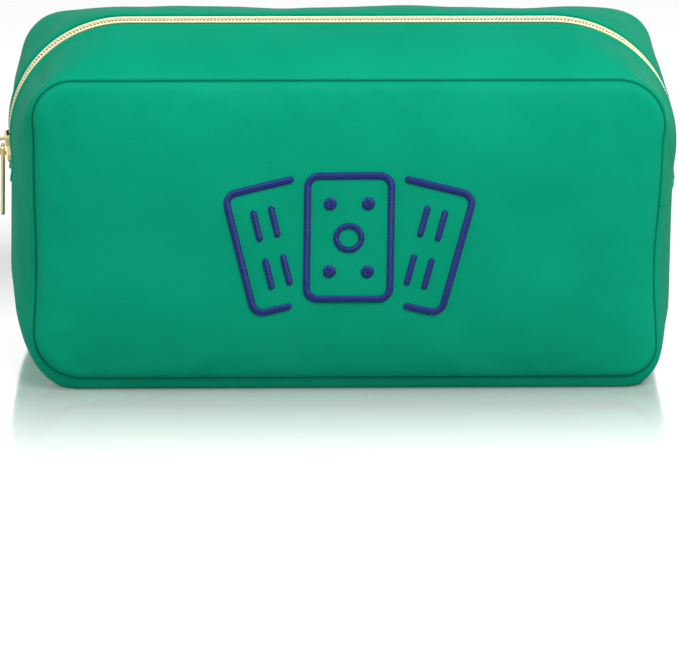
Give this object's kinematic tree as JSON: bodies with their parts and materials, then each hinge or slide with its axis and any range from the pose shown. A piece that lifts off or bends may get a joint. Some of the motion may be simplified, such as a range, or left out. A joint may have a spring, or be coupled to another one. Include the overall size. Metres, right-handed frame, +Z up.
{
  "type": "zip pouch for a mahjong set",
  "caption": "Rounded padded zip pouch with crowned front and back panels, a coil zipper over the top, a hanging bar pull and a satin-stitched tile motif.",
  "frame": {"origin": "middle of the flat resting face under the bag", "axes": "+Z up, front panel towards -Y, the slider's end of the zipper towards -X"},
  "size_m": [0.2703, 0.109, 0.1414],
  "materials": {
    "nylon": "satin",
    "foam": "matt foam padding",
    "lining": "satin",
    "tape": "woven tape",
    "coil": "satin nylon",
    "gold": "polished pale gold",
    "thread": "satin stitch"
  },
  "bodies": {
    "bag_base": {"bottom_gusset": "nylon", "bottom_gusset_foam": "foam", "bottom_gusset_lining": "lining", "zipper_tapes_left_end": "tape", "zipper_coils_left_end": "coil", "zipper_tapes_right_end": "tape", "zipper_coils_right_end": "coil"},
    "front_half": {"front_panel": "nylon", "front_panel_foam": "foam", "front_panel_lining": "lining", "front_seam_binding": "tape", "top_gusset_front": "nylon", "top_gusset_front_foam": "foam", "top_gusset_front_lining": "lining", "zipper_tape_front": "tape", "zipper_coil_front": "coil", "tile_embroidery": "thread"},
    "back_half": {"back_panel": "nylon", "back_panel_foam": "foam", "back_panel_lining": "lining", "back_seam_binding": "tape", "top_gusset_back": "nylon", "top_gusset_back_foam": "foam", "top_gusset_back_lining": "lining", "zipper_tape_back": "tape", "zipper_coil_back": "coil"},
    "slider": {"slider_body": "gold"},
    "pull": {"pull_tab": "gold"}
  },
  "joints": [
    {"name": "front_open", "type": "hinge", "parent": "bag_base", "child": "front_half", "pos_m": [0, -0.045, 0.0045], "axis": [1, 0, 0], "range_deg": [0, 20]},
    {"name": "back_open", "type": "hinge", "parent": "bag_base", "child": "back_half", "pos_m": [0, 0.045, 0.0045], "axis": [-1, 0, 0], "range_deg": [0, 20]},
    {"name": "slider_travel", "type": "hinge", "parent": "bag_base", "child": "slider", "pos_m": [-0.0865, 0, 0.095], "axis": [0, -1, 0], "range_deg": [-90, 0], "deforming": ["zipper_coil_front", "zipper_coil_back"]},
    {"name": "pull_swing", "type": "hinge", "parent": "slider", "child": "pull", "pos_m": [-0.13507, 0, 0.08817], "axis": [0, 1, 0], "range_deg": [0, 160]}
  ]
}
